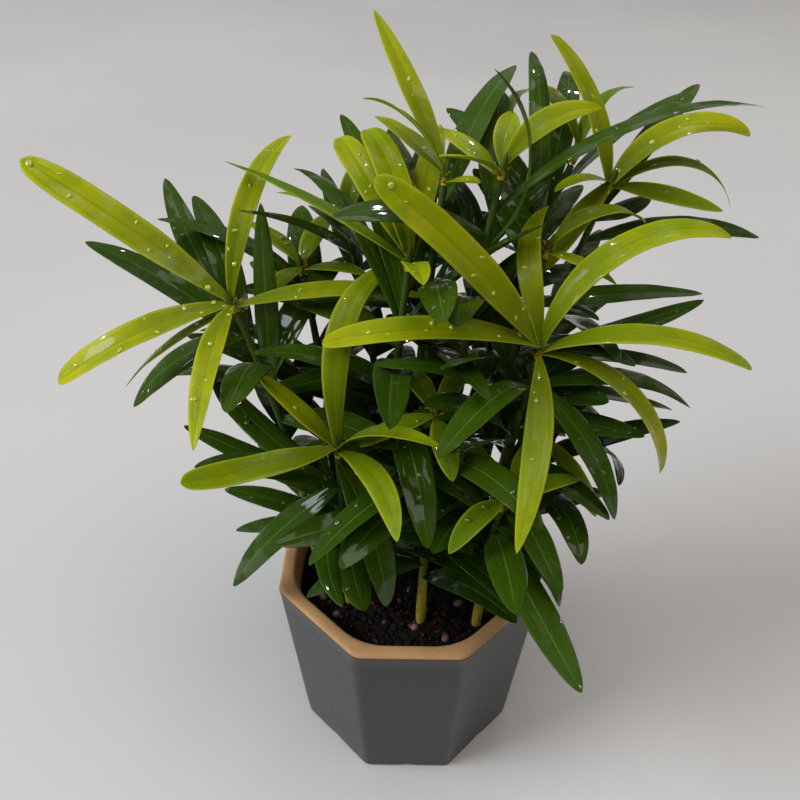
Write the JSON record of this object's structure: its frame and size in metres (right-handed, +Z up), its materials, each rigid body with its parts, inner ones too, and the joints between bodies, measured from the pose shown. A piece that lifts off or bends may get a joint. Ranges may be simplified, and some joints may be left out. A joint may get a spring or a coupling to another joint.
{
  "type": "potted buddhist pine",
  "caption": "Group of young buddhist pine plants with long strap leaves and pale new growth, in dark soil in a tapered octagonal clay pot.",
  "frame": {"origin": "centre of the pot's foot, in the plane that the pot stands on", "axes": "+Z up, -Y towards the side of the pot that the picture looks at, +X to the right there"},
  "size_m": [0.2548, 0.1794, 0.2531],
  "materials": {
    "clay": "dark matt glaze, bare tan clay on the lip",
    "earth": "dark moist potting soil with bark crumbs",
    "mature_leaf": "glossy dark green leaf",
    "young_leaf": "soft glossy yellow-green leaf"
  },
  "bodies": {
    "root": {"pot": "clay", "soil": "earth", "seedling_01": "mature_leaf", "seedling_02": "mature_leaf", "seedling_03": "mature_leaf", "seedling_04": "mature_leaf", "seedling_05": "mature_leaf", "seedling_06": "mature_leaf", "seedling_07": "mature_leaf", "seedling_08": "mature_leaf", "seedling_09": "mature_leaf", "seedling_10": "mature_leaf", "seedling_11": "mature_leaf", "seedling_12": "mature_leaf", "seedling_13": "mature_leaf", "seedling_14": "mature_leaf", "flush_01": "young_leaf", "flush_02": "young_leaf", "flush_03": "young_leaf", "flush_04": "young_leaf", "flush_05": "young_leaf", "flush_06": "young_leaf", "flush_07": "young_leaf", "flush_08": "young_leaf", "flush_09": "young_leaf", "flush_10": "young_leaf", "flush_11": "young_leaf", "flush_12": "young_leaf", "flush_13": "young_leaf", "flush_14": "young_leaf"}
  },
  "joints": []
}
